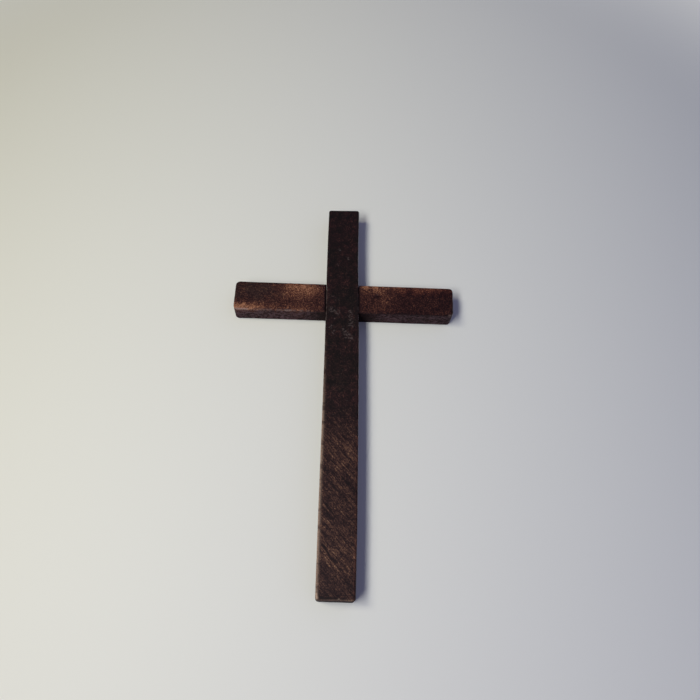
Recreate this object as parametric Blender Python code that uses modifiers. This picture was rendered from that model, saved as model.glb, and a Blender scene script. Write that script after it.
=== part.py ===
"""A plain wooden wall cross: a post and a crossbar, joined by a half-lap where they meet.

Metres, +Z up along the post, +X along the crossbar. The back lies on the plane y = 0, against the wall,
and the front looks along -Y. The origin is on the back, where the centre lines of the two pieces cross.
"""

import bmesh
import bpy
from math import radians

# Lengths, all measured from the point where the centre lines cross
HEAD_LENGTH = 0.0689
SHANK_LENGTH = 0.1716
LEFT_ARM_LENGTH = 0.0660
RIGHT_ARM_LENGTH = 0.0691

# Cross sections: width as seen from the front, thickness from the wall outwards
POST_WIDTH = 0.020
CROSSBAR_WIDTH = 0.020
CROSSBAR_THICKNESS = 0.0116
# The post's front stands this far out from the crossbar's
POST_PROUD = 0.0004
POST_THICKNESS = CROSSBAR_THICKNESS + POST_PROUD

# Half-lap: the crossbar gives up its front part and the post its back part, down to the lap plane
LAP_FROM_WALL = 0.0058
LAP_CLEARANCE = 0.0003

# Sanded edges: the corners of each end seen from the front, and every long edge
POST_CORNER_RADIUS = 0.0015
CROSSBAR_CORNER_RADIUS = 0.0028
ARRIS_RADIUS = 0.0008

# Blind hole for a nail, in the back of the post near its top
NAIL_HOLE_RADIUS = 0.003
NAIL_HOLE_DEPTH = 0.007
NAIL_HOLE_BELOW_TOP = 0.024

# How far a cutter runs past the face that it opens
CUTTER_OVERRUN = 0.004

CORNER_SEGMENTS = 5
ARRIS_SEGMENTS = 4
HOLE_SEGMENTS = 32
# Only edges sharper than this are rounded as arrises
ARRIS_ANGLE = radians(60)

POST_STAIN = (0.032, 0.019, 0.016, 1.0)
CROSSBAR_STAIN = (0.060, 0.028, 0.020, 1.0)
WOOD_ROUGHNESS = 0.55


def clear_scene():
    for thing in list(bpy.data.objects):
        bpy.data.objects.remove(thing, do_unlink=True)


def make_collection(name):
    collection = bpy.data.collections.new(name)
    bpy.context.scene.collection.children.link(collection)
    return collection


def stained_wood(name, colour):
    material = bpy.data.materials.new(name)
    material.use_nodes = True
    shader = material.node_tree.nodes["Principled BSDF"]
    shader.inputs["Base Color"].default_value = colour
    shader.inputs["Roughness"].default_value = WOOD_ROUGHNESS
    shader.inputs["Metallic"].default_value = 0.0
    return material


def block(name, low, high, collection):
    """A box between two corners, with its object at the box's middle."""
    size = [top - bottom for bottom, top in zip(low, high)]
    middle = [(top + bottom) / 2 for bottom, top in zip(low, high)]
    bm = bmesh.new()
    bmesh.ops.create_cube(bm, size=1.0)
    bmesh.ops.scale(bm, vec=size, verts=bm.verts)
    mesh = bpy.data.meshes.new(name)
    bm.to_mesh(mesh)
    bm.free()
    thing = bpy.data.objects.new(name, mesh)
    thing.location = middle
    collection.objects.link(thing)
    return thing


def mark_end_corners(thing):
    """Give a bevel weight to the four edges that run from the front to the back."""
    bm = bmesh.new()
    bm.from_mesh(thing.data)
    weight = bm.edges.layers.float.new("bevel_weight_edge")
    for edge in bm.edges:
        run = edge.verts[1].co - edge.verts[0].co
        edge[weight] = 1.0 if abs(run.y) > 0.5 * run.length else 0.0
    bm.to_mesh(thing.data)
    bm.free()


def round_edges(thing, corner_radius, arris_radius):
    mark_end_corners(thing)
    corners = thing.modifiers.new("end corners", "BEVEL")
    corners.limit_method = "WEIGHT"
    corners.width = corner_radius
    corners.segments = CORNER_SEGMENTS
    arrises = thing.modifiers.new("arrises", "BEVEL")
    arrises.limit_method = "ANGLE"
    arrises.angle_limit = ARRIS_ANGLE
    arrises.width = arris_radius
    arrises.segments = ARRIS_SEGMENTS


def cut(thing, cutter):
    cutter.hide_render = True
    cutter.display_type = "WIRE"
    boolean = thing.modifiers.new(cutter.name, "BOOLEAN")
    boolean.operation = "DIFFERENCE"
    boolean.solver = "EXACT"
    boolean.object = cutter


def make_post(parts, cutters):
    post = block(
        "post",
        (-POST_WIDTH / 2, -POST_THICKNESS, -SHANK_LENGTH),
        (POST_WIDTH / 2, 0.0, HEAD_LENGTH),
        parts,
    )
    round_edges(post, POST_CORNER_RADIUS, ARRIS_RADIUS)

    # The crossbar's housing, across the back
    housing_half = CROSSBAR_WIDTH / 2 + LAP_CLEARANCE
    housing_reach = POST_WIDTH / 2 + CUTTER_OVERRUN
    housing = block(
        "post_housing",
        (-housing_reach, -LAP_FROM_WALL, -housing_half),
        (housing_reach, CUTTER_OVERRUN, housing_half),
        cutters,
    )
    cut(post, housing)
    cut(post, make_nail_hole(cutters))
    post.data.materials.append(stained_wood("post_stain", POST_STAIN))
    return post


def make_nail_hole(cutters):
    length = NAIL_HOLE_DEPTH + CUTTER_OVERRUN
    bm = bmesh.new()
    bmesh.ops.create_cone(
        bm,
        cap_ends=True,
        segments=HOLE_SEGMENTS,
        radius1=NAIL_HOLE_RADIUS,
        radius2=NAIL_HOLE_RADIUS,
        depth=length,
    )
    mesh = bpy.data.meshes.new("nail_hole")
    bm.to_mesh(mesh)
    bm.free()
    hole = bpy.data.objects.new("nail_hole", mesh)
    hole.rotation_euler = (radians(90), 0.0, 0.0)
    hole.location = (0.0, CUTTER_OVERRUN - length / 2, HEAD_LENGTH - NAIL_HOLE_BELOW_TOP)
    cutters.objects.link(hole)
    return hole


def make_crossbar(parts, cutters):
    crossbar = block(
        "crossbar",
        (-LEFT_ARM_LENGTH, -CROSSBAR_THICKNESS, -CROSSBAR_WIDTH / 2),
        (RIGHT_ARM_LENGTH, 0.0, CROSSBAR_WIDTH / 2),
        parts,
    )
    round_edges(crossbar, CROSSBAR_CORNER_RADIUS, ARRIS_RADIUS)

    # The post's housing, across the front
    housing_half = POST_WIDTH / 2 + LAP_CLEARANCE
    housing_reach = CROSSBAR_WIDTH / 2 + CUTTER_OVERRUN
    housing = block(
        "crossbar_housing",
        (-housing_half, -CROSSBAR_THICKNESS - CUTTER_OVERRUN, -housing_reach),
        (housing_half, -LAP_FROM_WALL + LAP_CLEARANCE, housing_reach),
        cutters,
    )
    cut(crossbar, housing)
    crossbar.data.materials.append(stained_wood("crossbar_stain", CROSSBAR_STAIN))
    return crossbar


def main():
    clear_scene()
    parts = make_collection("wall_cross")
    cutters = make_collection("cutters")
    make_post(parts, cutters)
    make_crossbar(parts, cutters)


main()
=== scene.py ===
"""Looks for the wall cross: two sanded, dark-stained bars of wood in a half-lap, lying against a pale wall.

Metres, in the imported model's frame: +Z up the post, +X along the crossbar, the wall at y = 0 and the front
towards -Y. The camera stands in front of the foot's side and looks up at the crossing.
"""

import math

import bmesh
import bpy
import numpy as np
from mathutils import Matrix, Vector
from mathutils import noise as perlin

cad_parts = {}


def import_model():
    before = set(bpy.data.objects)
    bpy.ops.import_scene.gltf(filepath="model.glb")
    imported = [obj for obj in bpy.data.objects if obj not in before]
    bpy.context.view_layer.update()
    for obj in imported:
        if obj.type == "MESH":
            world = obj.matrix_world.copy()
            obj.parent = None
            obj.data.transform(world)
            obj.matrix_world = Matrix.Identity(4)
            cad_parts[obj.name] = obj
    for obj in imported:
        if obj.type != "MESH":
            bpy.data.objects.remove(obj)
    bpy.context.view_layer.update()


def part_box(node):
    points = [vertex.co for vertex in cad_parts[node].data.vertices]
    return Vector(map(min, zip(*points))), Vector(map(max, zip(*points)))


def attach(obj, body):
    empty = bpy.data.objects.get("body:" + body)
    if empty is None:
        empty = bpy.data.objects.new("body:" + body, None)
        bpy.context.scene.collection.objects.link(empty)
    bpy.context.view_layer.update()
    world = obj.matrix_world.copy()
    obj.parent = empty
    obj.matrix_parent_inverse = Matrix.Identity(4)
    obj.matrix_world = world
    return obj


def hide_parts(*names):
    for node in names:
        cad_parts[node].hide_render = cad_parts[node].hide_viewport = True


MM = 0.001

# The camera, fitted to the edges of the cross in the photograph
IMAGE_WIDTH_PX = 700
FOCAL_PX = 584.06
SENSOR_MM = 36.0
CAMERA_PLACE = (-0.00726, -0.31814, -0.19004)
CAMERA_SWING = math.radians(4.566)
CAMERA_TILT = math.radians(26.837)
CAMERA_ROLL = math.radians(5.879)
CAMERA_NEAREST = 0.01

# Half-lap: the crossbar keeps its back part and the post its front part, on both sides of the lap plane
LAP_FROM_WALL = 0.0058
LAP_PLAY = 0.00008
HOUSING_PLAY = 0.0001
SHOULDER_EASE = 0.0006

POST_CORNER_RADIUS = 0.0015
CROSSBAR_CORNER_RADIUS = 0.0028
ARRIS_RADIUS = 0.0008

NAIL_HOLE_RADIUS = 0.003
NAIL_HOLE_DEPTH = 0.007
NAIL_HOLE_BELOW_TOP = 0.024
NAIL_HOLE_SEGMENTS = 48

# Saw marks cross the post's front from upper left to lower right
SAW_MARK_PITCH = 0.00105
SAW_MARK_SLOPE = 1.1


def main():
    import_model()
    bpy.context.scene.view_settings.view_transform = "Standard"
    make_camera()
    make_wall()
    make_dome()
    make_lights()
    post = make_post()
    crossbar = make_crossbar()
    light_back((post, crossbar))
    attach(post, "root")
    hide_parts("post")
    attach(crossbar, "root")
    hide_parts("crossbar")


# Camera, stage and lights


def make_camera():
    data = bpy.data.cameras.new("camera")
    data.sensor_width = SENSOR_MM
    data.lens = SENSOR_MM * FOCAL_PX / IMAGE_WIDTH_PX
    data.clip_start = CAMERA_NEAREST
    camera = bpy.data.objects.new("camera", data)
    upright = Matrix.Rotation(math.radians(90) + CAMERA_TILT, 4, "X")
    swing = Matrix.Rotation(CAMERA_SWING, 4, "Y")
    roll = Matrix.Rotation(CAMERA_ROLL, 4, "Z")
    camera.matrix_world = Matrix.Translation(CAMERA_PLACE) @ swing @ upright @ roll
    bpy.context.scene.collection.objects.link(camera)
    bpy.context.scene.camera = camera


WALL_SIZE = 4.0
WALL_GAP = 0.00005
WALL_COLOUR = (0.80, 0.80, 0.80)
# Painted light: how the pale paint shifts over this reach, bluer to the right, brighter upwards and darker
# towards both sides
WALL_SHIFT_REACH_MM = 300.0
WALL_RIGHTWARD = (0.010, 0.030, 0.114)
WALL_UPWARD = (0.078, 0.082, 0.054)
WALL_SIDEWAYS = (-0.13, -0.13, -0.13)
WALL_ROUGHNESS = 0.6
WALL_SHEEN = 0.2
# Round this place the wall shows as paint up to the first radius, and past the second as the studio's glow
WALL_FADE_PLACE_MM = (5.0, 40.0)
WALL_FADE_RADII_MM = (305.0, 560.0)
DOME_RADIUS = 6.0
DOME_SUBDIVISIONS = 3
STUDIO_GLOW = (0.62, 0.62, 0.63, 1.0)


def make_wall():
    """The pale wall that the cross lies against. It is clear from behind, so that the back can be seen."""
    bm = bmesh.new()
    bmesh.ops.create_grid(bm, x_segments=1, y_segments=1, size=WALL_SIZE / 2)
    wall = object_from_bmesh("wall", bm)
    wall.rotation_euler = (math.radians(90), 0.0, 0.0)
    wall.location = (0.0, WALL_GAP, 0.0)
    graph = Graph("wall_paint_and_painted_light")
    parts = graph.parts_of(graph.millimetres())
    reach = WALL_SHIFT_REACH_MM
    rightward = graph.spread(parts["X"], -reach, reach, -1.0, 1.0, smooth=False)
    upward = graph.spread(parts["Y"], -reach, reach, -1.0, 1.0, smooth=False)
    sideways = graph.math("MULTIPLY", rightward, rightward)
    # Painted light: these shifts give the wall the room's uneven light as colour
    tone_and_painted_light = WALL_COLOUR
    for share, shift in ((rightward, WALL_RIGHTWARD), (upward, WALL_UPWARD), (sideways, WALL_SIDEWAYS)):
        tone_and_painted_light = graph.vector("MULTIPLY_ADD", share, shift, tone_and_painted_light)
    graph.link(tone_and_painted_light, graph.shader.inputs["Base Color"])
    graph.shader.inputs["Roughness"].default_value = WALL_ROUGHNESS
    graph.shader.inputs["Specular IOR Level"].default_value = WALL_SHEEN
    # Far from the cross the wall goes over into the studio's glow, which lights nothing
    from_right = graph.math("SUBTRACT", parts["X"], WALL_FADE_PLACE_MM[0])
    from_above = graph.math("SUBTRACT", parts["Y"], WALL_FADE_PLACE_MM[1])
    away = graph.math("MULTIPLY", from_above, from_above)
    away = graph.math("MULTIPLY_ADD", from_right, from_right, away)
    far_share = graph.spread(graph.math("SQRT", away), *WALL_FADE_RADII_MM)
    seen = graph.node("ShaderNodeLightPath")
    far_share = graph.math("MULTIPLY", far_share, seen.outputs["Is Camera Ray"])
    glow = graph.node("ShaderNodeEmission")
    glow.inputs["Color"].default_value = STUDIO_GLOW
    front = graph.mix_shaders(far_share, graph.shader.outputs[0], glow.outputs[0])
    geometry = graph.node("ShaderNodeNewGeometry")
    clear = graph.node("ShaderNodeBsdfTransparent")
    surface = graph.mix_shaders(geometry.outputs["Backfacing"], front, clear.outputs[0])
    graph.link(surface, graph.output.inputs["Surface"])
    wall.data.materials.append(graph.material)


def make_dome():
    """A pale studio dome, seen only by the camera where the wall doesn't reach."""
    bm = bmesh.new()
    bmesh.ops.create_icosphere(bm, subdivisions=DOME_SUBDIVISIONS, radius=DOME_RADIUS)
    dome = object_from_bmesh("dome", bm)
    glow = Graph("dome_glow")
    emission = glow.node("ShaderNodeEmission")
    emission.inputs["Color"].default_value = STUDIO_GLOW
    glow.link(emission.outputs[0], glow.output.inputs["Surface"])
    dome.data.materials.append(glow.material)
    dome.visible_diffuse = False
    dome.visible_glossy = False
    dome.visible_transmission = False
    dome.visible_shadow = False


# Lamp places are measured from the crossing: right, back and up
FOOT_SIDE_LAMP = {
    "place": (-0.328, -0.597, -0.275),
    "size": (0.174, 0.447),
    "power": 3.27,
    "colour": (0.985, 1.0, 0.91),
}
HEAD_SIDE_LAMP = {
    "place": (-0.851, -1.154, 0.050),
    "size": (0.387, 0.296),
    "power": 4.63,
    "colour": (1.0, 0.97, 0.72),
}
BACK_LAMP = {
    "place": (0.25, 0.6, 0.3),
    "size": (0.5, 0.5),
    "power": 3.0,
    "colour": (1.0, 1.0, 1.0),
}
ROOM_LEFT_COLOUR = (0.02, 0.0, 0.03, 1.0)
ROOM_RIGHT_COLOUR = (0.20, 0.22, 0.33, 1.0)


def make_lamp(name, place, size, power, colour):
    data = bpy.data.lights.new(name, "AREA")
    data.shape = "RECTANGLE"
    data.size, data.size_y = size
    data.energy = power
    data.color = colour
    lamp = bpy.data.objects.new(name, data)
    lamp.visible_camera = False
    lamp.location = place
    lamp.rotation_euler = (-Vector(place)).to_track_quat("-Z", "Y").to_euler()
    bpy.context.scene.collection.objects.link(lamp)
    return lamp


def light_back(pieces):
    """A lamp behind the wall that reaches only the cross, so that its back can be seen."""
    lamp = make_lamp("back_lamp", **BACK_LAMP)
    reached = bpy.data.collections.new("reached_from_behind")
    for piece in pieces:
        reached.objects.link(piece)
    lamp.light_linking.receiver_collection = reached
    lamp.light_linking.blocker_collection = reached


def make_lights():
    make_lamp("foot_side_lamp", **FOOT_SIDE_LAMP)
    make_lamp("head_side_lamp", **HEAD_SIDE_LAMP)
    world = bpy.data.worlds.new("room")
    world.use_nodes = True
    tree = world.node_tree
    direction = tree.nodes.new("ShaderNodeTexCoord")
    parts = tree.nodes.new("ShaderNodeSeparateXYZ")
    tree.links.new(direction.outputs["Generated"], parts.inputs[0])
    rightward = tree.nodes.new("ShaderNodeMapRange")
    rightward.inputs["From Min"].default_value = -1.0
    tree.links.new(parts.outputs["X"], rightward.inputs["Value"])
    blend = tree.nodes.new("ShaderNodeMix")
    blend.data_type = "RGBA"
    tree.links.new(rightward.outputs["Result"], blend.inputs["Factor"])
    blend.inputs[6].default_value = ROOM_LEFT_COLOUR
    blend.inputs[7].default_value = ROOM_RIGHT_COLOUR
    tree.links.new(blend.outputs[2], tree.nodes["Background"].inputs["Color"])
    bpy.context.scene.world = world


def object_from_bmesh(name, bm):
    mesh = bpy.data.meshes.new(name)
    bm.to_mesh(mesh)
    bm.free()
    thing = bpy.data.objects.new(name, mesh)
    bpy.context.scene.collection.objects.link(thing)
    return thing


# Shader graphs


class Graph:
    """A material's node tree, with short calls for the nodes that the woods are made of."""

    def __init__(self, name):
        self.material = bpy.data.materials.new(name)
        self.material.use_nodes = True
        self.tree = self.material.node_tree
        self.shader = self.tree.nodes["Principled BSDF"]
        self.output = self.tree.nodes["Material Output"]

    def node(self, kind, **settings):
        made = self.tree.nodes.new(kind)
        for name, value in settings.items():
            setattr(made, name, value)
        return made

    def link(self, source, target):
        self.tree.links.new(source, target)

    def millimetres(self):
        """The place on the piece, in millimetres."""
        coordinates = self.node("ShaderNodeTexCoord")
        return self.vector("MULTIPLY", coordinates.outputs["Object"], (1 / MM, 1 / MM, 1 / MM))

    def parts_of(self, vector):
        """A vector's X, Y and Z."""
        made = self.node("ShaderNodeSeparateXYZ")
        self.link(vector, made.inputs[0])
        return made.outputs

    def layer(self, name):
        """The level that was painted on the vertices under this name."""
        return self.node("ShaderNodeAttribute", attribute_name=name).outputs["Fac"]

    def feed(self, socket, value):
        if isinstance(value, bpy.types.NodeSocket):
            self.link(value, socket)
        else:
            socket.default_value = value

    def math(self, operation, first, second=0.0, third=0.0, clamp=False):
        made = self.node("ShaderNodeMath", operation=operation, use_clamp=clamp)
        for socket, value in zip(made.inputs, (first, second, third)):
            self.feed(socket, value)
        return made.outputs[0]

    def vector(self, operation, first, second=(0.0, 0.0, 0.0), third=(0.0, 0.0, 0.0)):
        made = self.node("ShaderNodeVectorMath", operation=operation)
        for socket, value in zip(made.inputs, (first, second, third)):
            self.feed(socket, value)
        return made.outputs["Value"] if operation in ("LENGTH", "DOT_PRODUCT") else made.outputs["Vector"]

    def noise(self, vector, scale, detail, roughness):
        made = self.node("ShaderNodeTexNoise")
        self.feed(made.inputs["Vector"], vector)
        made.inputs["Scale"].default_value = scale
        made.inputs["Detail"].default_value = detail
        made.inputs["Roughness"].default_value = roughness
        return made.outputs["Fac"]

    def spread(self, value, low, high, to_low=0.0, to_high=1.0, smooth=True):
        made = self.node("ShaderNodeMapRange")
        made.interpolation_type = "SMOOTHSTEP" if smooth else "LINEAR"
        self.feed(made.inputs["Value"], value)
        for name, number in zip(("From Min", "From Max", "To Min", "To Max"), (low, high, to_low, to_high)):
            made.inputs[name].default_value = number
        return made.outputs["Result"]

    def mix(self, factor, first, second, blend="MIX"):
        made = self.node("ShaderNodeMix", data_type="RGBA", blend_type=blend)
        self.feed(made.inputs["Factor"], factor)
        self.feed(made.inputs[6], first)
        self.feed(made.inputs[7], second)
        return made.outputs[2]

    def mix_shaders(self, factor, first, second):
        mixed = self.node("ShaderNodeMixShader")
        self.link(factor, mixed.inputs[0])
        self.link(first, mixed.inputs[1])
        self.link(second, mixed.inputs[2])
        return mixed.outputs[0]

    def ramp(self, value, stops, interpolation):
        """A colour that runs through stops, each a place from 0 to 1 and the colour there."""
        made = self.node("ShaderNodeValToRGB")
        ramp = made.color_ramp
        ramp.interpolation = interpolation
        for place, _ in stops[1:-1]:
            ramp.elements.new(place)
        for element, (place, colour) in zip(ramp.elements, stops):
            element.position = place
            element.color = (*colour, 1.0)
        self.feed(made.inputs["Fac"], value)
        return made.outputs["Color"]

    def bump(self, height, distance, strength):
        made = self.node("ShaderNodeBump")
        made.inputs["Strength"].default_value = strength
        made.inputs["Distance"].default_value = distance
        self.feed(made.inputs["Height"], height)
        return made.outputs["Normal"]


# Bars of wood, lofted through rounded sections

SECTION_PITCH = 0.00042
FRONT_POINTS = 58
FLANK_POINTS = 16
BACK_POINTS = 24
ARRIS_POINTS = 5
END_STEPS = 7
SHOULDER_STEPS = 4
CAP_INSETS = (0.12, 0.3, 0.55, 0.85)
CUT_FADE = 0.012
SHARP_ANGLE = math.radians(50)
# Places closer than this are one place
SAME_PLACE = 1e-9
# The walls of a housing lean outwards by this much, so that no two sections lie in one plane
WALL_LEAN = 0.00001


def quarter(steps):
    return [math.pi / 2 * step / steps for step in range(steps + 1)]


def section(half_width, back, front, radius):
    """Points around a bar's rounded section: u across it, v out from the wall."""
    radius = min(radius, half_width, (front - back) / 2)
    inner = half_width - radius
    low = back + radius
    high = front - radius
    points = []

    def run(start, end, count):
        for step in range(count):
            share = step / count
            points.append((start[0] + (end[0] - start[0]) * share, start[1] + (end[1] - start[1]) * share))

    def turn(centre, first_angle):
        for step in range(ARRIS_POINTS):
            angle = first_angle - math.pi / 2 * step / ARRIS_POINTS
            points.append((centre[0] + radius * math.cos(angle), centre[1] + radius * math.sin(angle)))

    run((-inner, front), (inner, front), FRONT_POINTS)
    turn((inner, high), math.pi / 2)
    run((half_width, high), (half_width, low), FLANK_POINTS)
    turn((inner, low), 0.0)
    run((inner, back), (-inner, back), BACK_POINTS)
    turn((-inner, low), -math.pi / 2)
    run((-half_width, low), (-half_width, high), FLANK_POINTS)
    turn((-inner, high), math.pi)
    return points


def stations(start, end, corner_radius, housing):
    """Places along a bar for its sections, closest at the rounded ends and at the housing's shoulders."""
    found = []
    for angle in quarter(END_STEPS):
        found.append(start + corner_radius * (1 - math.cos(angle)))
        found.append(end - corner_radius * (1 - math.cos(angle)))
    first, last = start + corner_radius, end - corner_radius
    count = round((last - first) / SECTION_PITCH)
    found += [first + (last - first) * step / count for step in range(1, count)]
    low, high = housing
    found = [s for s in found if min(abs(s - low), abs(s - high)) >= SECTION_PITCH / 3]
    for angle in quarter(SHOULDER_STEPS):
        found.append(low - SHOULDER_EASE * (1 - math.sin(angle)))
        found.append(high + SHOULDER_EASE * (1 - math.sin(angle)))
    found += [low, high]
    return sorted(set(round(s, 7) for s in found))


def eased(distance, radius):
    """How far a rounded edge has dropped at this distance from the plane that it turns into."""
    if distance >= radius:
        return 0.0
    return radius - math.sqrt(max(0.0, radius * radius - (radius - distance) ** 2))


def bar_rings(start, end, half_width, thickness, corner_radius, housing, housing_front, arris):
    """A bar's sections, each with its place along the bar.

    The housing is cut from the front or from the back down to the lap plane. A wall of it has two sections.
    """
    low, high = housing
    rings = []
    for s in stations(start, end, corner_radius, housing):
        from_end = min(s - start, end - s)
        half = half_width - eased(from_end, corner_radius)
        back = eased(from_end, ARRIS_RADIUS)
        front = thickness - eased(from_end, ARRIS_RADIUS)
        outside = max(low - s, s - high)
        before_middle = s < (low + high) / 2
        if outside > SAME_PLACE:
            profiles = ["whole"]
        elif outside > -SAME_PLACE:
            profiles = ["whole", "cut"] if before_middle else ["cut", "whole"]
        else:
            profiles = ["cut"]
        for profile in profiles:
            drop = eased(max(outside, 0.0), SHOULDER_EASE)
            ring_back, ring_front = back, front
            if housing_front:
                ring_front = LAP_FROM_WALL - LAP_PLAY if profile == "cut" else front - drop
            else:
                ring_back = LAP_FROM_WALL if profile == "cut" else back + drop
            lean = WALL_LEAN if len(profiles) == 2 and profile == "whole" else 0.0
            leaned = s - lean if before_middle else s + lean
            rings.append((leaned, section(half, ring_back, ring_front, arris(s))))
    return rings


def out_of_square(place, start, end, half_width, end_cuts):
    """Slopes a bar's ends. The cuts say how much shorter its -u side is than its +u side at each end."""

    def sloped(s, u, v):
        from_plus_side = (half_width - u) / (2 * half_width)
        low_share = 1 - fade_in(s - start, 0.0, CUT_FADE)
        high_share = 1 - fade_in(end - s, 0.0, CUT_FADE)
        cut = from_plus_side * (end_cuts[0] * low_share - end_cuts[1] * high_share)
        return place(s + cut, u, v)

    return sloped


def add_band(faces, first, second):
    """Faces between two rings of vertices, which are given by their numbers."""
    for step in range(len(first)):
        following = (step + 1) % len(first)
        faces.append((first[step], first[following], second[following], second[step]))


def add_cap(vertices, faces, outer, s, ring, place):
    """Closes a bar's end with rings that shrink from its section to the section's middle line."""
    middle = sum(v for _, v in ring) / len(ring)
    reach = max(u for u, _ in ring) - (max(v for _, v in ring) - middle)
    for inset in CAP_INSETS:
        inner = []
        for u, v in ring:
            to_u = min(max(u, -reach), reach)
            inner.append(len(vertices))
            vertices.append(place(s, u + (to_u - u) * inset, v + (middle - v) * inset))
        add_band(faces, outer, inner)
        outer = inner
    faces.append(tuple(outer))


def bar_mesh(name, rings, place):
    """A bar lofted through its rings. Each point of a ring goes where place puts its s, u and v."""
    vertices = [place(s, u, v) for s, ring in rings for u, v in ring]
    around = len(rings[0][1])
    numbers = [list(range(first, first + around)) for first in range(0, len(vertices), around)]
    faces = []
    for first, second in zip(numbers, numbers[1:]):
        add_band(faces, first, second)
    for index in (0, -1):
        add_cap(vertices, faces, numbers[index], *rings[index], place)
    mesh = bpy.data.meshes.new(name)
    mesh.from_pydata(vertices, [], faces)
    mesh.update()
    bm = bmesh.new()
    bm.from_mesh(mesh)
    bmesh.ops.recalc_face_normals(bm, faces=bm.faces)
    bm.to_mesh(mesh)
    bm.free()
    mesh.shade_smooth()
    mesh.set_sharp_from_angle(angle=SHARP_ANGLE)
    thing = bpy.data.objects.new(name, mesh)
    bpy.context.scene.collection.objects.link(thing)
    return thing


def fade_in(value, low, high):
    """0 up to low, 1 from high on, and smooth between them."""
    share = min(max((value - low) / (high - low), 0.0), 1.0)
    return share * share * (3 - 2 * share)


def level_at(stops, place):
    """The level at a place on a line of (place, level) stops."""
    places, levels = zip(*stops)
    return float(np.interp(place, places, levels))


def paint_layers(thing, layers):
    """Writes levels from 0 to 1 at each vertex, for the material to read under the layers' names."""
    for name, level_of in layers.items():
        levels = [level_of(vertex.co) for vertex in thing.data.vertices]
        attribute = thing.data.attributes.new(name, "FLOAT", "POINT")
        attribute.data.foreach_set("value", np.array(levels, np.float32))


def towards(at, face, rim):
    """0 away from a face and 1 at it. The rim says between which distances short of the face it changes."""
    return fade_in(at, face - rim[0], face - rim[1])


# Rims just behind the front, of the layers on the front, of the greyed sides and of their thick stain
FRONT_RIM = (0.0012, 0.0004)
SIDE_RIM = (0.0012, 0.0006)
THICK_RIM = (0.0010, 0.0004)
# How far from an end its open grain and its thick stain reach
OPEN_END_REACH = 0.0005
THICK_END_REACH = 0.0006
THICK_ENDS = 0.8
# How open the grain is on a sawn side, against 1 on an end
SIDE_GRAIN = 0.7


class Faces:
    """Levels from 0 to 1 that say which face of a bar a place is on."""

    def __init__(self, thickness, start, end, axis):
        self.thickness = thickness
        self.start = start
        self.end = end
        self.axis = axis

    def front(self, place):
        return towards(-place.y, self.thickness, FRONT_RIM)

    def side(self, place):
        """1 on all faces but the front."""
        return 1 - towards(-place.y, self.thickness, SIDE_RIM)

    def ends(self, place, reach):
        along = place[self.axis]
        return 1 - fade_in(min(self.end - along, along - self.start), 0.0, reach)

    def open_grain(self, place):
        return max(self.ends(place, OPEN_END_REACH), SIDE_GRAIN * self.side(place))

    def thick_stain_and_shade(self, place, sides):
        """How dark the stain lies on the ends and on the sides, with painted shade where the side level that
        is passed in carries it.
        """
        behind = 1 - towards(-place.y, self.thickness, THICK_RIM)
        return max(THICK_ENDS * self.ends(place, THICK_END_REACH) * behind, sides * behind)


def near_edge(across, out, half_width, thickness, fade):
    """1 on the arris between a side and the front, fading to 0 over both faces."""
    gap = math.hypot(half_width - across, thickness - out)
    return math.exp(-((gap / fade) ** 2))


BROKEN_RIM = 0.12
BROKEN_COARSE = 0.9
BROKEN_FINE = 0.35


def broken(s, seed, span, share, least=0.0):
    """1 along the marked stretches of an arris, worn ones and painted highlights, and the least level along
    the rest.

    The share is how much of it is marked, and the span is how far apart the stretches are.
    """
    coarse = perlin.noise(Vector((s / span, seed, 0.0)))
    fine = perlin.noise(Vector((3 * s / span, seed, 7.0)))
    value = 0.5 + BROKEN_COARSE * coarse + BROKEN_FINE * fine
    return least + (1 - least) * fade_in(value, 1.0 - share - BROKEN_RIM, 1.0 - share + BROKEN_RIM)


def along_stretches(place, stretches, fade):
    """The level of the stretch that a place lies in, fading past its ends. Each is (start, end, level)."""
    found = []
    for start, end, level in stretches:
        past_it = max(start - place, place - end)
        found.append(level * (1 - fade_in(past_it, 0.0, fade)))
    return max(found)


def front_marks(place, marks):
    """The strongest of the marks at a place. Each is a line (x1, z1, x2, z2) with a width and a level."""
    x, z = place.x / MM, place.z / MM
    found = 0.0
    for (x1, z1, x2, z2), width, level in marks:
        run = x2 - x1
        rise = z2 - z1
        length = run * run + rise * rise
        share = ((x - x1) * run + (z - z1) * rise) / length if length else 0.0
        share = min(max(share, 0.0), 1.0)
        gap = math.hypot(x - x1 - share * run, z - z1 - share * rise)
        found = max(found, level * math.exp(-((gap / width) ** 2)))
    return found


def wavering(seed, amount, spans):
    """An arris radius that wanders along the bar, as hand sanding leaves it."""

    def radius(s):
        wander = sum(share * perlin.noise(Vector((s / span, seed, 0.5))) for span, share in spans)
        return ARRIS_RADIUS * (1.0 + amount * wander)

    return radius


# Deepest sanded hollow under the CAD faces, so that no ridge stands out of them
SKIN = 0.00008


def relieve(thing, depth_at):
    """Moves each vertex inwards along its normal by what depth_at says for its place and normal."""
    mesh = thing.data
    count = len(mesh.vertices)
    places = np.zeros(count * 3)
    mesh.vertices.foreach_get("co", places)
    places = places.reshape(-1, 3)
    normals = np.zeros(count * 3)
    mesh.vertex_normals.foreach_get("vector", normals)
    normals = normals.reshape(-1, 3)
    depths = np.array([depth_at(Vector(p), n) for p, n in zip(places, normals)])
    moved = places - normals * np.clip(depths, 0.0, SKIN)[:, None]
    mesh.vertices.foreach_set("co", moved.astype(np.float32).ravel())
    mesh.update()


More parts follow.
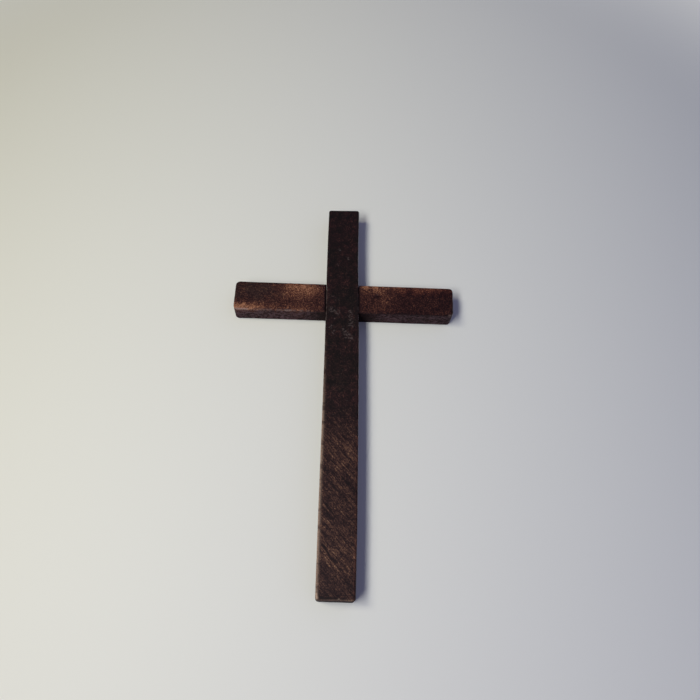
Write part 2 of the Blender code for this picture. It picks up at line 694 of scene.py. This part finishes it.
def sway(thing, stops, half_width):
    """Shifts the sides of an upright bar. Each stop is (height, left shift, right shift) in millimetres."""
    lefts = tuple((place, left) for place, left, _ in stops)
    rights = tuple((place, right) for place, _, right in stops)
    for vertex in thing.data.vertices:
        height = vertex.co.z / MM
        rightness = (vertex.co.x + half_width) / (2 * half_width)
        shift = level_at(lefts, height) * (1 - rightness) + level_at(rights, height) * rightness
        vertex.co.x += shift * MM


SANDING_SPAN = 0.009
POST_SANDING = 0.45
CROSSBAR_SANDING = 0.5
# The crossbar's open grain, drawn out along it: its spans to the right, back and up
GRAIN_SPANS = (0.014, 0.001, 0.0011)
GRAIN_DEPTH = 0.3
SAW_MARK_DEPTH = 0.5
SAW_MARK_DRIFT = 0.35
SAW_MARK_DRIFT_SPAN = 0.012
# The saw marks come and go in patches with these spans, rightward and upward
SAW_PATCH_SPANS = (0.011, 0.017)
SAW_PATCH_SEED = 3.1
# They set in along the post between these distances below the crossing
SAW_MARKS_FROM = (0.02, 0.09)


def sanded(place, seed):
    """Broad, shallow hollows left by sanding, from 0 to 1."""
    return 0.5 + 0.5 * perlin.noise(place / SANDING_SPAN + Vector((seed, 0.0, 0.0)))


def grain(place):
    """The fine grooves of open grain along the crossbar, from 0 to 1."""
    return 0.5 + 0.5 * perlin.noise(Vector([at / span for at, span in zip(place, GRAIN_SPANS)]))


def saw_marks(place):
    """Depth share of the diagonal saw marks on the post's front, fading in and out along its length."""
    across = (SAW_MARK_SLOPE * place.x + place.z) / math.hypot(SAW_MARK_SLOPE, 1.0)
    drift = SAW_MARK_DRIFT * perlin.noise(place / SAW_MARK_DRIFT_SPAN)
    wave = 0.5 + 0.5 * math.cos(2 * math.pi * (across / SAW_MARK_PITCH + drift))
    right_span, up_span = SAW_PATCH_SPANS
    patchiness = 0.5 + perlin.noise(Vector((place.x / right_span, SAW_PATCH_SEED, place.z / up_span)))
    return wave * min(max(patchiness, 0.0), 1.0)


# The post isn't quite straight: places up it, and how far its left and right sides lie to the right there
POST_SWAY = (
    (-171.6, -0.25, -0.50),
    (-160.0, -0.25, -0.25),
    (-149.0, -0.24, -0.12),
    (-141.0, -0.23, 0.05),
    (-125.0, -0.19, 0.20),
    (-100.0, -0.10, 0.30),
    (-66.0, 0.05, 0.38),
    (-35.0, 0.12, 0.36),
    (-22.0, 0.08, 0.28),
    (-10.0, 0.04, 0.06),
    (10.0, -0.05, -0.06),
    (18.0, -0.20, -0.24),
    (32.0, -0.21, -0.36),
    (46.0, -0.22, -0.27),
    (60.0, -0.08, -0.10),
    (68.9, 0.0, 0.0),
)

POST_ARRIS = {"seed": 1.7, "amount": 0.45, "spans": ((0.011, 0.6), (0.0026, 0.4))}
# How much shorter the post's left side is than its right side, at the foot and at the top
POST_END_CUTS = (0.0003, 0.0007)
# Painted shade in the joint's creases: how far up and down the joint reaches, and where that darkening has
# faded out
POST_JOINT_SHADE = (0.0100, 0.0108)
POST_THICK_SIDES = 0.3
# Beside the post's right arris the front is brighter and redder, from these distances below the crossing
BRIGHT_RIM = (0.0024, 0.0010)
BRIGHT_FROM = (0.09, 0.11)
BRIGHT_LEVEL = 0.12
RED_RIM = (0.0022, 0.0008)
RED_FROM = (0.055, 0.085)
# How strongly the faces that the photograph doesn't show are greyed with blotches and painted sheen, against
# 1 on the crossbar's lower side
HIDDEN_GREY_AND_SHEEN = 0.4

# Wear on the post, with painted highlights on its arrises. Places are in millimetres, right of and up from
# the crossing
ARRIS_FADE = 0.0007
LEFT_ARRIS_FADE = 1.5 * ARRIS_FADE
# The post's left arris: partly worn wood, partly painted highlight where the lamps from the left catch it
POST_LEFT_WEAR_AND_HIGHLIGHT = (
    (-175.0, 0.66),
    (-160.0, 0.62),
    (-150.0, 0.74),
    (-130.0, 0.70),
    (-120.0, 0.64),
    (-78.0, 0.74),
    (-60.0, 0.28),
    (-45.0, 0.22),
    (-32.0, 0.12),
    (-27.0, 0.0),
)
# Painted highlights: pale lines along the post's left and right arrises near the crossing, where the lamps
# catch the rounded edges
POST_LEFT_ARRIS_HIGHLIGHT = ((-60.0, 0.0), (-44.0, 0.8), (-18.0, 0.9), (-14.0, 1.2), (9.4, 1.2), (10.5, 0.0))
POST_RIGHT_ARRIS_HIGHLIGHT = ((-22.0, 0.0), (-19.0, 1.1), (3.0, 1.1), (5.0, 0.0))
POST_LEFT_WORN_AND_HIGHLIT_SHARE = ((-70.0, 0.8), (-40.0, 0.5))
FOOT_WEAR = 0.5
FOOT_CORNER_WEAR = (((-9.5, -168.4, -9.2, -170.2), 0.6, 1.0), ((1.5, -170.7, 1.8, -170.7), 0.30, 0.5))
# Scuffs where the post passes over the crossbar: broad ones that break up into specks, and single specks
POST_SCUFFS = (
    ((-7.0, -8.0, -2.6, -11.0), 2.8, 0.62),
    ((4.6, -10.4, 5.6, -19.0), 3.0, 0.60),
    ((1.0, -23.0, 5.4, -27.4), 3.6, 0.62),
    ((-6.4, 1.0, -3.0, -1.0), 2.4, 0.50),
    ((-6.0, -20.0, -5.0, -24.0), 3.0, 0.55),
    ((0.0, -36.0, 0.0, -74.0), 14.0, 0.28),
    ((5.1, -10.1, 5.1, -10.2), 0.60, 1.0),
    ((-4.6, -9.2, -3.9, -9.5), 0.55, 0.95),
    ((-4.5, -14.7, -4.5, -14.8), 0.60, 1.0),
    ((4.6, -15.8, 4.7, -15.7), 0.55, 0.9),
    ((7.0, -17.1, 7.1, -17.2), 0.55, 0.8),
    ((1.0, -21.3, 1.1, -21.3), 0.55, 0.9),
    ((5.3, -26.1, 5.4, -26.2), 0.60, 0.95),
    ((2.0, -27.6, 3.6, -27.7), 0.45, 0.9),
)
# Faint pale smudges higher up
POST_SMUDGES = (
    ((3.4, 30.2, 3.5, 29.0), 1.3, 0.62),
    ((-2.6, 36.6, -1.7, 35.4), 1.3, 0.62),
    ((-2.8, 24.2, -0.8, 23.2), 1.1, 0.56),
    ((2.9, 19.1, 3.2, 19.3), 1.1, 0.50),
    ((-9.0, 15.9, 9.0, 15.6), 0.6, 0.42),
)
# Bright and dark strokes left by coarse sanding near the foot
BRIGHT_STROKES = (
    ((-6.6, -144.6, -3.6, -147.9), 0.45, 0.75),
    ((-7.8, -147.2, -3.6, -151.4), 0.50, 1.0),
    ((-4.6, -148.0, -0.6, -151.6), 0.40, 0.75),
    ((-6.0, -151.4, -3.0, -156.0), 0.55, 0.75),
    ((-2.0, -153.0, 0.1, -155.2), 0.40, 0.55),
    ((6.2, -144.9, 8.6, -148.0), 0.45, 0.7),
    ((-8.0, -143.0, -6.4, -144.8), 0.50, 0.5),
)
DARK_STROKES = (
    ((-7.4, -145.6, 0.0, -154.0), 0.42, 1.0),
    ((-5.8, -144.0, -1.6, -148.6), 0.35, 0.6),
    ((-9.2, -170.35, 0.4, -170.25), 0.32, 1.0),
    ((2.8, -170.2, 5.2, -170.2), 0.30, 0.6),
    ((2.0, -111.5, 5.2, -115.2), 0.40, 0.7),
    ((-7.6, -103.6, -1.0, -110.6), 0.35, 0.5),
)


def make_post():
    low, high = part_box("post")
    bar_low, bar_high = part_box("crossbar")
    half_width = (high.x - low.x) / 2
    rings = bar_rings(
        start=low.z,
        end=high.z,
        half_width=half_width,
        thickness=high.y - low.y,
        corner_radius=POST_CORNER_RADIUS,
        housing=(bar_low.z - HOUSING_PLAY, bar_high.z + HOUSING_PLAY),
        housing_front=False,
        arris=wavering(**POST_ARRIS),
    )
    upright = out_of_square(lambda s, u, v: (u, -v, s), low.z, high.z, half_width, POST_END_CUTS)
    post = bar_mesh("post_wood", rings, upright)
    faces = Faces(-low.y, low.z, high.z, axis=2)

    def depth(place, normal):
        facing = max(0.0, -normal[1])
        marks = SAW_MARK_DEPTH * facing * saw_marks(place) * fade_in(-place.z, *SAW_MARKS_FROM)
        return SKIN * (POST_SANDING * sanded(place, seed=4.0) + marks)

    def worn_and_highlit(place):
        left = near_edge(-place.x, -place.y, high.x, -low.y, LEFT_ARRIS_FADE)
        left *= level_at(POST_LEFT_WEAR_AND_HIGHLIGHT, place.z / MM)
        share = level_at(POST_LEFT_WORN_AND_HIGHLIT_SHARE, place.z / MM)
        left *= broken(place.z, seed=3.3, span=0.0045, share=share, least=0.35)
        foot = near_edge(-place.z, -place.y, -low.z, -low.y, ARRIS_FADE)
        foot_wear = FOOT_WEAR * foot * foot * broken(place.x, seed=8.1, span=0.004, share=0.7, least=0.4)
        return max(left, foot_wear, faces.front(place) * front_marks(place, FOOT_CORNER_WEAR))

    def scuffed_and_highlit(place):
        # Painted highlights along both arrises, with scuffs and smudges on the front
        left = near_edge(-place.x, -place.y, high.x, -low.y, ARRIS_FADE)
        left *= level_at(POST_LEFT_ARRIS_HIGHLIGHT, place.z / MM)
        left *= broken(place.z, seed=5.9, span=0.002, share=0.7)
        right = near_edge(place.x, -place.y, high.x, -low.y, ARRIS_FADE)
        right *= level_at(POST_RIGHT_ARRIS_HIGHLIGHT, place.z / MM)
        right *= broken(place.z, seed=2.2, span=0.002, share=0.6)
        return max(left, right, faces.front(place) * front_marks(place, POST_SCUFFS + POST_SMUDGES))

    def scratched(place):
        right_edge = towards(place.x, high.x, BRIGHT_RIM) * fade_in(-place.z, *BRIGHT_FROM)
        return max(faces.front(place) * front_marks(place, BRIGHT_STROKES), BRIGHT_LEVEL * right_edge)

    def thick_stain_and_shade(place):
        # Painted shade: the post's sides are darkened through the joint, where the creases beside the
        # crossbar lie in shade
        joint_painted_shade = 1 - fade_in(abs(place.z), *POST_JOINT_SHADE)
        strokes = faces.front(place) * front_marks(place, DARK_STROKES)
        return max(strokes, faces.thick_stain_and_shade(place, max(joint_painted_shade, POST_THICK_SIDES)))

    def reddened(place):
        return towards(place.x, high.x, RED_RIM) * fade_in(-place.z, *RED_FROM)

    def side_grey_and_sheen(place):
        return HIDDEN_GREY_AND_SHEEN * faces.side(place)

    relieve(post, depth)
    layers = {
        "worn_and_highlit": worn_and_highlit,
        "scuffed_and_highlit": scuffed_and_highlit,
        "scratched": scratched,
        "thick_stain_and_shade": thick_stain_and_shade,
        "reddened": reddened,
        "side": side_grey_and_sheen,
        "open grain": faces.open_grain,
    }
    paint_layers(post, layers)
    sway(post, POST_SWAY, high.x)
    cut_nail_hole(post, high.z - NAIL_HOLE_BELOW_TOP)
    post.data.materials.append(post_material())
    return post


def cut_nail_hole(post, height):
    bm = bmesh.new()
    bmesh.ops.create_cone(
        bm,
        cap_ends=True,
        segments=NAIL_HOLE_SEGMENTS,
        radius1=NAIL_HOLE_RADIUS,
        radius2=NAIL_HOLE_RADIUS,
        depth=2 * NAIL_HOLE_DEPTH,
    )
    drill = object_from_bmesh("drill", bm)
    drill.rotation_euler = (math.radians(90), 0.0, 0.0)
    drill.location = (0.0, 0.0, height)
    bpy.context.view_layer.update()
    boolean = post.modifiers.new("nail hole", "BOOLEAN")
    boolean.operation = "DIFFERENCE"
    boolean.solver = "EXACT"
    boolean.object = drill
    bpy.context.view_layer.update()
    depsgraph = bpy.context.evaluated_depsgraph_get()
    drilled = bpy.data.meshes.new_from_object(post.evaluated_get(depsgraph))
    post.modifiers.clear()
    post.data = drilled
    bpy.data.objects.remove(drill)


CROSSBAR_ARRIS = {"seed": 5.2, "amount": 0.4, "spans": ((0.013, 0.6), (0.003, 0.4))}
# How much shorter the crossbar's lower side is than its upper side, at the left end and at the right end
CROSSBAR_END_CUTS = (0.0, 0.0009)
# The joint's painted shade, darkening the crossbar in its housing and on the shoulders beside the post,
# fades out between these distances from its housing's walls and from the back
JOINT_SHADE_RIM = (0.0004, 0.0012)
CROSSBAR_THICK_SIDES = 0.36
# Painted shade: the lower side grows darker towards the joint, between these distances from the crossing
JOINT_SHADE = (0.012, 0.030)
JOINT_SHADE_LEVEL = 0.4
LOWER_SIDE_RIM = (0.0016, 0.0006)
# The right arm's lower arris is dark from here on
LOWER_RIGHT_FROM = (0.0, 0.012)
LOWER_RIGHT_LEVEL = 0.45
# The upper part of both arms is redder: from where to where along an arm, and from what height
RED_RIGHT_FROM = (0.026, 0.040)
RED_RIGHT_ABOVE = (0.0005, 0.0060)
RED_LEFT_FROM = (0.022, 0.026)
RED_LEFT_TO = (0.038, 0.044)
RED_LEFT_ABOVE = (0.0080, 0.0096)

# Wear on the crossbar, in the same places: its lower front arris shines where the stain is gone, partly worn
# wood and partly painted highlight
LOWER_ARRIS_FADE_MM = 0.9
LOWER_ARRIS_WEAR_AND_HIGHLIGHT = (
    (-66.0, -57.5, 0.85),
    (-57.0, -51.4, 0.16),
    (-50.4, -44.5, 0.22),
    (-43.8, -43.2, 0.35),
    (-39.4, -36.2, 0.28),
    (-34.6, -31.0, 0.60),
    (-29.4, -28.6, 0.30),
    (-25.6, -24.2, 0.35),
    (-21.2, -20.2, 0.25),
    (65.5, 68.0, 0.35),
)
# How strongly its lower side is greyed with blotches and painted sheen; the low levels by the joint leave it
# darker there, as painted shade
CROSSBAR_SIDE_LEVELS = (
    (-66.0, 0.88),
    (-45.0, 1.05),
    (-36.0, 1.20),
    (-27.0, 0.88),
    (-18.0, 0.62),
    (-12.0, 0.10),
    (14.0, 0.0),
    (24.0, 0.74),
    (36.0, 0.80),
    (70.0, 0.72),
)
# The first mark is a painted highlight on the right arm's lower right corner; the others are scuffs
CROSSBAR_SCUFFS_AND_HIGHLIGHT = (
    ((66.4, -9.4, 66.6, -9.2), 0.7, 0.8),
    ((21.6, 3.4, 22.0, 3.4), 0.5, 0.8),
    ((-23.5, 4.6, -22.5, 8.0), 1.6, 0.45),
)
CROSSBAR_DARK_MARKS = (
    ((-66.0, 9.7, -24.0, 9.7), 0.45, 0.6),
    ((13.0, 6.6, 15.6, 5.2), 0.55, 0.9),
    ((16.4, 6.6, 19.0, 7.0), 0.50, 0.8),
    ((19.6, 1.6, 24.0, 2.4), 0.50, 0.7),
    ((11.6, 3.4, 12.8, 2.6), 0.50, 0.5),
)


def make_crossbar():
    low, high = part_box("crossbar")
    post_low, post_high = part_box("post")
    half_width = (high.z - low.z) / 2
    rings = bar_rings(
        start=low.x,
        end=high.x,
        half_width=half_width,
        thickness=high.y - low.y,
        corner_radius=CROSSBAR_CORNER_RADIUS,
        housing=(post_low.x - HOUSING_PLAY, post_high.x + HOUSING_PLAY),
        housing_front=True,
        arris=wavering(**CROSSBAR_ARRIS),
    )
    lying = out_of_square(lambda s, u, v: (s, -v, u), low.x, high.x, half_width, CROSSBAR_END_CUTS)
    crossbar = bar_mesh("crossbar_wood", rings, lying)
    faces = Faces(-low.y, low.x, high.x, axis=0)
    joint_half = post_high.x + HOUSING_PLAY

    def depth(place, _):
        return SKIN * (CROSSBAR_SANDING * sanded(place, seed=9.0) + GRAIN_DEPTH * grain(place))

    def lower_side(place):
        return towards(-place.z, -low.z, LOWER_SIDE_RIM)

    def lower_arris(place):
        return near_edge(-place.z, -place.y, -low.z, -low.y, ARRIS_FADE)

    def worn_and_highlit(place):
        return lower_arris(place) * along_stretches(place.x / MM, LOWER_ARRIS_WEAR_AND_HIGHLIGHT, LOWER_ARRIS_FADE_MM)

    def scuffed_and_highlit(place):
        return faces.front(place) * front_marks(place, CROSSBAR_SCUFFS_AND_HIGHLIGHT)

    def thick_stain_and_shade(place):
        # Painted shade: the crossbar is darkened in its housing and on the shoulders beside the post, where
        # the joint's creases lie in shade
        joint_painted_shade = 1 - fade_in(abs(place.x), joint_half + JOINT_SHADE_RIM[0], joint_half + JOINT_SHADE_RIM[1])
        joint_painted_shade *= fade_in(-place.y, *JOINT_SHADE_RIM)
        painted_joint_shade = lower_side(place) * (1 - fade_in(abs(place.x), *JOINT_SHADE))
        return max(
            LOWER_RIGHT_LEVEL * lower_arris(place) * fade_in(place.x, *LOWER_RIGHT_FROM),
            faces.front(place) * front_marks(place, CROSSBAR_DARK_MARKS),
            faces.thick_stain_and_shade(place, CROSSBAR_THICK_SIDES + JOINT_SHADE_LEVEL * painted_joint_shade),
            joint_painted_shade,
        )

    def reddened(place):
        right = fade_in(place.x, *RED_RIGHT_FROM) * fade_in(place.z, *RED_RIGHT_ABOVE)
        left = fade_in(-place.x, *RED_LEFT_FROM) * (1 - fade_in(-place.x, *RED_LEFT_TO))
        left *= fade_in(place.z, *RED_LEFT_ABOVE)
        return max(right, left)

    def side_grey_and_sheen(place):
        lower = lower_side(place)
        level = level_at(CROSSBAR_SIDE_LEVELS, place.x / MM)
        return faces.side(place) * (lower * level + (1 - lower) * HIDDEN_GREY_AND_SHEEN)

    relieve(crossbar, depth)
    layers = {
        "worn_and_highlit": worn_and_highlit,
        "scuffed_and_highlit": scuffed_and_highlit,
        "thick_stain_and_shade": thick_stain_and_shade,
        "reddened": reddened,
        "side": side_grey_and_sheen,
        "open grain": faces.open_grain,
    }
    paint_layers(crossbar, layers)
    crossbar.data.materials.append(crossbar_material())
    return crossbar


# Stained wood

# The stain's colour from thick, at 0, to rubbed thin, at 1
STAIN = (
    (0.00, (0.0040, 0.0018, 0.0018)),
    (0.20, (0.0085, 0.0026, 0.0028)),
    (0.40, (0.0260, 0.0085, 0.0078)),
    (0.60, (0.0650, 0.0240, 0.0170)),
    (0.80, (0.1300, 0.0490, 0.0290)),
    (1.00, (0.3300, 0.1450, 0.0820)),
)
# Bare wood, cooled and greyed towards the tone of the painted highlight on the arrises
POST_BARE_WOOD_AND_SHEEN = (0.41, 0.285, 0.22, 1.0)
CROSSBAR_BARE_WOOD_AND_SHEEN = (0.27, 0.20, 0.19, 1.0)
# Colour of the scuffs, and of the painted highlights on the post's arrises and the crossbar's corner
SCUFF_AND_HIGHLIGHT_COLOUR = (0.070, 0.051, 0.050, 1.0)
# Partly a painted sheen: the purple-grey that the wall's reflection gives the sides, mixed in as colour
SIDE_GREY_AND_SHEEN = (0.108, 0.062, 0.074, 1.0)
# The sides' blotches are drawn out along the bars: how many there are in a millimetre each way
SIDE_STREAKS = (0.55, 0.75, 0.55)
RED_TINT = (0.93, 0.78, 0.80, 1.0)
WOOD_SHEEN = 0.22
THICK_STAIN_AND_SHADE_LOSS = 0.45
SCRATCH_GAIN = 0.30
# How much the speckle breaks up the other colours
SPECKLE_GAIN = 1.6
SIDE_STREAK_GAIN = 2.8
SIDE_COVER = 0.32
SCUFF_AND_HIGHLIGHT_BREAKS = {"scale": 0.85, "gain": 1.7}
# Scuffs and painted highlights set in at the first level and cover the stain at the second
SCUFF_AND_HIGHLIGHT_RIM = (0.48, 0.92)
WOOD_ROUGHNESS = 0.5
SPECKLE_ROUGHNESS = 0.25
OPEN_GRAIN_ROUGHNESS = 0.5
FINE_RELIEF = 0.00012
FINE_RELIEF_STRENGTH = 0.5


def patch(graph, place, centre, reach, ragged):
    """1 at a patch's middle, falling to 0 at its ragged rim. Centre and reach are in millimetres."""
    offset = graph.vector("SUBTRACT", place, centre)
    scaled = graph.vector("MULTIPLY", offset, tuple(1 / r for r in reach))
    distance = graph.vector("LENGTH", scaled)
    rough = graph.math("ADD", distance, ragged)
    return graph.spread(rough, 1.0, 0.0)


def centred_noise(graph, place, scale, gain, detail=2.0, roughness=0.5):
    """Noise about 0, with so many blotches in a millimetre, and a swing that the gain sets."""
    noise = graph.noise(place, scale=scale, detail=detail, roughness=roughness)
    return graph.math("MULTIPLY", graph.math("SUBTRACT", noise, 0.5), gain)


def finish_wood(graph, place, thinness, speckle, tint, sheen_tint, bare_wood_and_sheen):
    """Colours the wood by how thin its stain is, with the painted layers and the fine surface on top."""
    thinness = graph.math("MULTIPLY_ADD", graph.layer("thick_stain_and_shade"), -THICK_STAIN_AND_SHADE_LOSS, thinness)
    thinness = graph.math("MULTIPLY_ADD", graph.layer("scratched"), SCRATCH_GAIN, thinness)
    colour = graph.mix(1.0, graph.ramp(thinness, STAIN, "LINEAR"), tint, blend="MULTIPLY")
    colour = graph.mix(graph.layer("reddened"), colour, RED_TINT, blend="MULTIPLY")

    # The sides are greyed in streaks: blotched stain with a painted sheen in the purple-grey of the wall's
    # reflection
    streaks = centred_noise(graph, graph.vector("MULTIPLY", place, SIDE_STREAKS), scale=1.0, gain=1.0)
    cover = graph.math("MULTIPLY_ADD", speckle, SPECKLE_GAIN, SIDE_COVER)
    cover = graph.math("MULTIPLY_ADD", streaks, SIDE_STREAK_GAIN, cover)
    greyed = graph.math("MULTIPLY", graph.layer("side"), cover, clamp=True)
    colour = graph.mix(greyed, colour, SIDE_GREY_AND_SHEEN)

    # Scuffs and painted highlights lie on top, and bare wood, partly a painted highlight, shows where all of
    # it is rubbed off
    scuffs_and_highlights = graph.math("ADD", centred_noise(graph, place, **SCUFF_AND_HIGHLIGHT_BREAKS), graph.layer("scuffed_and_highlit"))
    colour = graph.mix(graph.spread(scuffs_and_highlights, *SCUFF_AND_HIGHLIGHT_RIM), colour, SCUFF_AND_HIGHLIGHT_COLOUR)
    grit = graph.math("MULTIPLY_ADD", speckle, SPECKLE_GAIN, 1.0)
    worn_and_highlit = graph.math("MULTIPLY", graph.layer("worn_and_highlit"), grit, clamp=True)
    colour = graph.mix(worn_and_highlit, colour, bare_wood_and_sheen)

    rough = graph.math("MULTIPLY_ADD", speckle, SPECKLE_ROUGHNESS, WOOD_ROUGHNESS)
    rough = graph.math("MULTIPLY_ADD", graph.layer("open grain"), OPEN_GRAIN_ROUGHNESS, rough, clamp=True)
    relief = graph.bump(speckle, FINE_RELIEF, FINE_RELIEF_STRENGTH)
    graph.link(colour, graph.shader.inputs["Base Color"])
    graph.link(rough, graph.shader.inputs["Roughness"])
    graph.link(relief, graph.shader.inputs["Normal"])
    graph.shader.inputs["Specular IOR Level"].default_value = WOOD_SHEEN
    graph.shader.inputs["Specular Tint"].default_value = sheen_tint


def along_bar(graph, part, stops):
    """A level that follows (place, level) stops along a bar."""
    first, last = stops[0][0], stops[-1][0]
    share = graph.spread(part, first, last, smooth=False)
    scaled = tuple(((at - first) / (last - first), (level, level, level)) for at, level in stops)
    return graph.ramp(share, scaled, "EASE")


# Thinness of the post's stain along it: places are millimetres up from the crossing
POST_THINNESS = (
    (-175.0, 0.30),
    (-152.0, 0.49),
    (-128.0, 0.41),
    (-95.0, 0.44),
    (-68.0, 0.200),
    (-40.0, 0.175),
    (0.0, 0.185),
    (71.0, 0.165),
)
POST_SHEEN_TINT = (1.0, 0.82, 0.92, 1.0)
UPPER_DARK_TINT = (0.70, 1.50, 1.18, 1.0)
UPPER_PALE_TINT = (1.72, 2.04, 2.06, 1.0)
LOWER_TINT = (0.88, 1.13, 1.22, 1.0)

# Height at which the lower half's look sets in, and where it is whole
LOWER_HALF = (-55.0, -95.0)
POST_MOTTLE = {"scale": 0.26, "gain": 0.55, "detail": 3.0, "roughness": 0.6}
POST_SPECKLE = {"scale": 1.5, "gain": 1.0, "detail": 2.0, "roughness": 0.6}
POST_CRUMBS = {"scale": 0.75, "gain": 0.55, "detail": 1.0}
# The speckle's gain goes over from the first level to the second between these heights
POST_SPECKLE_HEIGHTS = (16.0, -70.0)
POST_SPECKLE_GAINS = (0.95, 1.1)

# Diagonal sanding lines are noises drawn out along the saw marks
BROAD_LINES = {"scale": 0.7, "gain": 0.7, "detail": 1.0}
FINE_LINES = {"scale": 1.8, "gain": 1.5, "detail": 1.0}
LINE_STRETCH = (0.09, 1.0, 1.0)
SAW_MARK_TURN = math.atan(1.0 / SAW_MARK_SLOPE) - math.radians(90)
LOWER_SANDING = 0.52
# Places where the coarse sanding shows most on the post's front: centre, reach and how much more it shows
COARSE_SANDING = (
    ((0.5, -12.0, -107.0), (9.0, 8.0, 12.0), 0.30),
    ((-6.0, -12.0, -131.0), (9.0, 8.0, 8.0), 0.35),
    ((-3.0, -12.0, -150.0), (9.0, 8.0, 10.0), 0.40),
)

# The upper half's stain is clouded from pale to dark, with a dark cloud where it crosses the crossbar
CLOUDS = {"scale": 0.13, "gain": 3.4, "detail": 3.0, "roughness": 0.75}
CLOUD_PALENESS = 0.52
DARK_CLOUD = ((4.0, -12.0, 3.5), (8.0, 7.0, 12.0))
DARK_CLOUD_LEVEL = -0.6


def post_material():
    graph = Graph("post_stain")
    place = graph.millimetres()
    height = graph.parts_of(place)["Z"]
    thinness = along_bar(graph, height, POST_THINNESS)
    mottle = centred_noise(graph, place, **POST_MOTTLE)
    speckle = centred_noise(graph, place, **POST_SPECKLE)
    crumbs = centred_noise(graph, place, **POST_CRUMBS)
    lower = graph.spread(height, *LOWER_HALF)

    turned = graph.node("ShaderNodeVectorRotate", rotation_type="Y_AXIS")
    graph.link(place, turned.inputs["Vector"])
    turned.inputs["Angle"].default_value = SAW_MARK_TURN
    drawn = graph.vector("MULTIPLY", turned.outputs[0], LINE_STRETCH)
    broad_lines = centred_noise(graph, drawn, **BROAD_LINES)
    fine_lines = centred_noise(graph, drawn, **FINE_LINES)
    coarse = graph.math("MULTIPLY", lower, LOWER_SANDING)
    for centre, reach, share in COARSE_SANDING:
        coarse = graph.math("MULTIPLY_ADD", patch(graph, place, centre, reach, mottle), share, coarse)
    lines = graph.math("MULTIPLY", graph.math("ADD", broad_lines, fine_lines), coarse)

    speckle_gain = graph.spread(height, *POST_SPECKLE_HEIGHTS, *POST_SPECKLE_GAINS, smooth=False)
    speckles = graph.math("MULTIPLY", speckle, speckle_gain)
    crumbs = graph.math("MULTIPLY", crumbs, speckle_gain)
    for extra in (mottle, speckles, crumbs, lines):
        thinness = graph.math("ADD", thinness, extra)

    cloud = graph.math("ADD", centred_noise(graph, place, **CLOUDS), CLOUD_PALENESS)
    dark_cloud = patch(graph, place, *DARK_CLOUD, mottle)
    cloud = graph.math("MULTIPLY_ADD", dark_cloud, DARK_CLOUD_LEVEL, cloud, clamp=True)
    upper_tint = graph.mix(cloud, UPPER_DARK_TINT, UPPER_PALE_TINT)
    tint = graph.mix(lower, upper_tint, LOWER_TINT)
    finish_wood(graph, place, thinness, speckle, tint, POST_SHEEN_TINT, POST_BARE_WOOD_AND_SHEEN)
    return graph.material


# Thinness of the crossbar's stain along its middle: places are millimetres to the right of the crossing
CROSSBAR_THINNESS = (
    (-67.0, 0.38),
    (-54.0, 0.405),
    (-40.0, 0.465),
    (-26.0, 0.51),
    (-16.0, 0.45),
    (14.0, 0.42),
    (24.0, 0.42),
    (42.0, 0.32),
    (54.0, 0.345),
    (70.0, 0.29),
)

# Where the crossbar's stain is rubbed thinner or lies thicker: centre, reach and the change in thinness
CROSSBAR_PATCHES = (
    ((-60.0, -11.6, -8.4), (23.0, 7.0, 6.2), 0.61),
    ((-26.0, -11.6, 7.0), (18.0, 7.0, 12.0), 0.37),
    ((-26.0, -11.6, -9.0), (20.0, 7.0, 5.5), 0.18),
    ((16.0, -11.6, 8.0), (13.5, 7.0, 9.0), 0.37),
    ((25.5, -11.6, -1.0), (7.5, 7.0, 8.0), 0.19),
    ((46.0, -11.6, 10.0), (44.0, 7.0, 8.5), 0.38),
)
CROSSBAR_SHEEN_TINT = (1.0, 0.70, 0.84, 1.0)
CROSSBAR_TINT = (0.98, 1.0, 1.0, 1.0)
GREYED_PATCH = ((-54.0, -11.6, 4.0), (21.0, 7.0, 11.0))
GREYED_TINT = (0.95, 1.42, 1.42, 1.0)

# What makes the rims of the patches ragged
CROSSBAR_RAGGED = {"scale": 0.16, "gain": 1.6, "detail": 3.0}
CROSSBAR_MOTTLE = {"scale": 0.33, "gain": 0.42, "detail": 3.0, "roughness": 0.6}
CROSSBAR_SPECKLE = {"scale": 1.45, "gain": 1.0, "detail": 2.0, "roughness": 0.6}
CROSSBAR_CRUMBS = {"scale": 0.80, "gain": 0.40, "detail": 1.0}
CROSSBAR_SPECKLE_GAIN = 1.75
GREYED_SPECKLE_LOSS = -0.8


def crossbar_material():
    graph = Graph("crossbar_stain")
    place = graph.millimetres()
    thinness = along_bar(graph, graph.parts_of(place)["X"], CROSSBAR_THINNESS)
    ragged = centred_noise(graph, place, **CROSSBAR_RAGGED)
    for centre, reach, change in CROSSBAR_PATCHES:
        thinness = graph.math("MULTIPLY_ADD", patch(graph, place, centre, reach, ragged), change, thinness)
    mottle = centred_noise(graph, place, **CROSSBAR_MOTTLE)
    speckle = centred_noise(graph, place, **CROSSBAR_SPECKLE)
    crumbs = centred_noise(graph, place, **CROSSBAR_CRUMBS)
    greyed = patch(graph, place, *GREYED_PATCH, ragged)
    speckle_gain = graph.math("MULTIPLY_ADD", greyed, GREYED_SPECKLE_LOSS, CROSSBAR_SPECKLE_GAIN)
    speckles = graph.math("MULTIPLY", speckle, speckle_gain)
    for extra in (mottle, speckles, crumbs):
        thinness = graph.math("ADD", thinness, extra)
    tint = graph.mix(greyed, CROSSBAR_TINT, GREYED_TINT)
    finish_wood(graph, place, thinness, speckle, tint, CROSSBAR_SHEEN_TINT, CROSSBAR_BARE_WOOD_AND_SHEEN)
    return graph.material


main()
